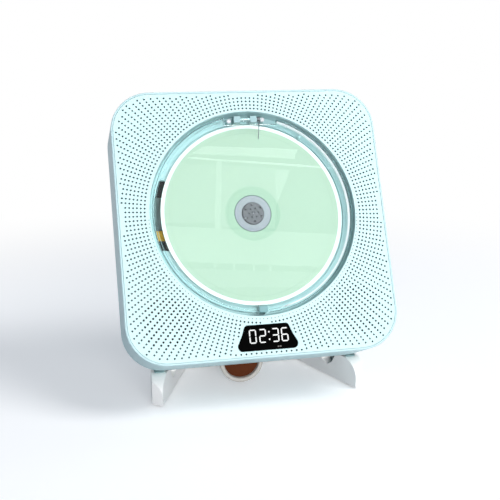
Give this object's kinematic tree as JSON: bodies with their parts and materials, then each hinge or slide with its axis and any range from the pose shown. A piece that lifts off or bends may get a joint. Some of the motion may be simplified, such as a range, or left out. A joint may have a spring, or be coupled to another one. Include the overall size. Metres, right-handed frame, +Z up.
{
  "type": "wall mounted disc player with stand",
  "caption": "Square disc player with a round well under a clear hinged lid, a clock window and a two-legged stand; it also hangs on a wall.",
  "frame": {"origin": "middle of the bounding box's footprint, on the surface the rubber feet stand on", "axes": "+X to the right of someone facing the player, -Y towards that person, +Z up; the face leans back 25.7 degrees"},
  "size_m": [0.1769, 0.11, 0.1947],
  "materials": {
    "shell": "satin, pale aqua",
    "window": "gloss black",
    "clear": "clear, polished",
    "disc": "pale green, gloss",
    "hub": "grey, fine texture",
    "steel": "bright",
    "balls": "polished",
    "deck": "black, fine texture",
    "rubber_dark": "matt",
    "rubber_grey": "matt",
    "rubber_brown": "matt brown",
    "ribbon": "amber film",
    "gear": "natural white",
    "sled": "black",
    "lens": "clear, bluish",
    "board": "green lacquer",
    "cone": "black paper",
    "socket": "black",
    "stand": "white, satin"
  },
  "bodies": {
    "stand": {"leg_left": "stand", "leg_right": "stand", "stand_bar": "stand", "stand_screws": "steel", "cable_hoop": "stand", "cord_grommet": "rubber_brown", "seat_pads": "rubber_grey", "rest_pads": "rubber_grey", "foot_pads": "rubber_grey"},
    "player": {"case": "shell", "front_panel": "shell", "display_window": "window", "clock_module": "board", "disc_tray": "shell", "hinge_pin": "steel", "cover_spring": "steel", "hinge_screws": "steel", "lid_switch": "deck", "spindle_motor": "steel", "deck_plate": "deck", "isolators": "rubber_dark", "deck_screws": "steel", "flex_ribbon": "ribbon", "guide_rods": "steel", "sled_motor": "steel", "speaker_left": "deck", "speaker_right": "deck", "key_board": "board", "board_screws": "steel", "switch_body": "socket", "side_board": "board", "power_socket": "socket", "audio_socket": "socket", "main_board": "board", "rear_cover": "shell", "case_screws": "steel"},
    "cover": {"dust_cover": "clear"},
    "lid_plunger": {"lid_plunger": "deck"},
    "lid_catch": {"lid_catch": "shell"},
    "spindle": {"spindle_hub": "hub", "chuck_balls": "balls"},
    "disc": {"disc": "disc"},
    "sled": {"pickup_sled": "sled", "sled_rack": "gear"},
    "lens": {"pickup_lens": "lens"},
    "gear": {"drive_gear": "gear"},
    "motor_pinion": {"motor_pinion": "gear"},
    "power_switch": {"power_switch": "socket"},
    "cone_left": {"cone_left": "cone"},
    "cone_right": {"cone_right": "cone"},
    "key_power": {"key_power": "shell"},
    "key_previous": {"key_previous": "shell"},
    "key_play": {"key_play": "shell"},
    "key_next": {"key_next": "shell"},
    "key_volume": {"key_volume": "shell"}
  },
  "joints": [
    {"name": "player_lift", "type": "slide", "parent": "stand", "child": "player", "axis": [0, 0, 1], "range_m": [0, 0.08]},
    {"name": "cover_hinge", "type": "hinge", "parent": "player", "child": "cover", "pos_m": [0, 0.01389, 0.17662], "axis": [-1, 0, 0], "range_deg": [0, 80], "deforming": ["cover_spring"]},
    {"name": "plunger_slide", "type": "slide", "parent": "player", "child": "lid_plunger", "axis": [0, -0.9011, 0.4337], "range_m": [0, 0.0012]},
    {"name": "catch_slide", "type": "slide", "parent": "player", "child": "lid_catch", "axis": [0, -0.4337, -0.9011], "range_m": [0, 0.0012], "stiffness_N_per_m": 400},
    {"name": "disc_spin", "type": "hinge", "parent": "player", "child": "spindle", "pos_m": [0, -0.00884, 0.11831], "axis": [0, -0.9011, 0.4337], "continuous": true},
    {"name": "disc_lift", "type": "slide", "parent": "spindle", "child": "disc", "axis": [0, -0.9011, 0.4337], "range_m": [0, 0.0015]},
    {"name": "sled_slide", "type": "slide", "parent": "player", "child": "sled", "axis": [-1, 0, 0], "range_m": [0, 0.031]},
    {"name": "lens_focus", "type": "slide", "parent": "sled", "child": "lens", "axis": [0, -0.9011, 0.4337], "range_m": [-0.0005, 0.0005], "stiffness_N_per_m": 40},
    {"name": "gear_spin", "type": "hinge", "parent": "player", "child": "gear", "pos_m": [-0.02, -0.01507, 0.08669], "axis": [0, -0.9011, 0.4337], "range_deg": [0, 247.2]},
    {"name": "pinion_spin", "type": "hinge", "parent": "player", "child": "motor_pinion", "pos_m": [-0.00624, -0.01925, 0.07801], "axis": [0, -0.9011, 0.4337], "range_deg": [-617.2, 0]},
    {"name": "key_power_press", "type": "slide", "parent": "player", "child": "key_power", "axis": [0, -0.4337, -0.9011], "range_m": [0, 0.0006], "stiffness_N_per_m": 600},
    {"name": "key_previous_press", "type": "slide", "parent": "player", "child": "key_previous", "axis": [0, -0.4337, -0.9011], "range_m": [0, 0.0006], "stiffness_N_per_m": 600},
    {"name": "key_play_press", "type": "slide", "parent": "player", "child": "key_play", "axis": [0, -0.4337, -0.9011], "range_m": [0, 0.0006], "stiffness_N_per_m": 600},
    {"name": "key_next_press", "type": "slide", "parent": "player", "child": "key_next", "axis": [0, -0.4337, -0.9011], "range_m": [0, 0.0006], "stiffness_N_per_m": 600},
    {"name": "key_volume_press", "type": "slide", "parent": "player", "child": "key_volume", "axis": [0, -0.4337, -0.9011], "range_m": [0, 0.0006], "stiffness_N_per_m": 600},
    {"name": "power_switch_slide", "type": "slide", "parent": "player", "child": "power_switch", "axis": [0, 0.4337, 0.9011], "range_m": [0, 0.004]},
    {"name": "cone_left_move", "type": "slide", "parent": "player", "child": "cone_left", "axis": [0, -0.9011, 0.4337], "range_m": [-0.0006, 0.0006], "stiffness_N_per_m": 1000},
    {"name": "cone_right_move", "type": "slide", "parent": "player", "child": "cone_right", "axis": [0, -0.9011, 0.4337], "range_m": [-0.0006, 0.0006], "stiffness_N_per_m": 1000}
  ],
  "couplings": [
    {"joint": "plunger_slide", "follows": "cover_hinge", "m_per_rad": 0.0008593},
    {"joint": "gear_spin", "follows": "sled_slide", "rad_per_m": 138.89},
    {"joint": "pinion_spin", "follows": "sled_slide", "rad_per_m": -347.22}
  ]
}
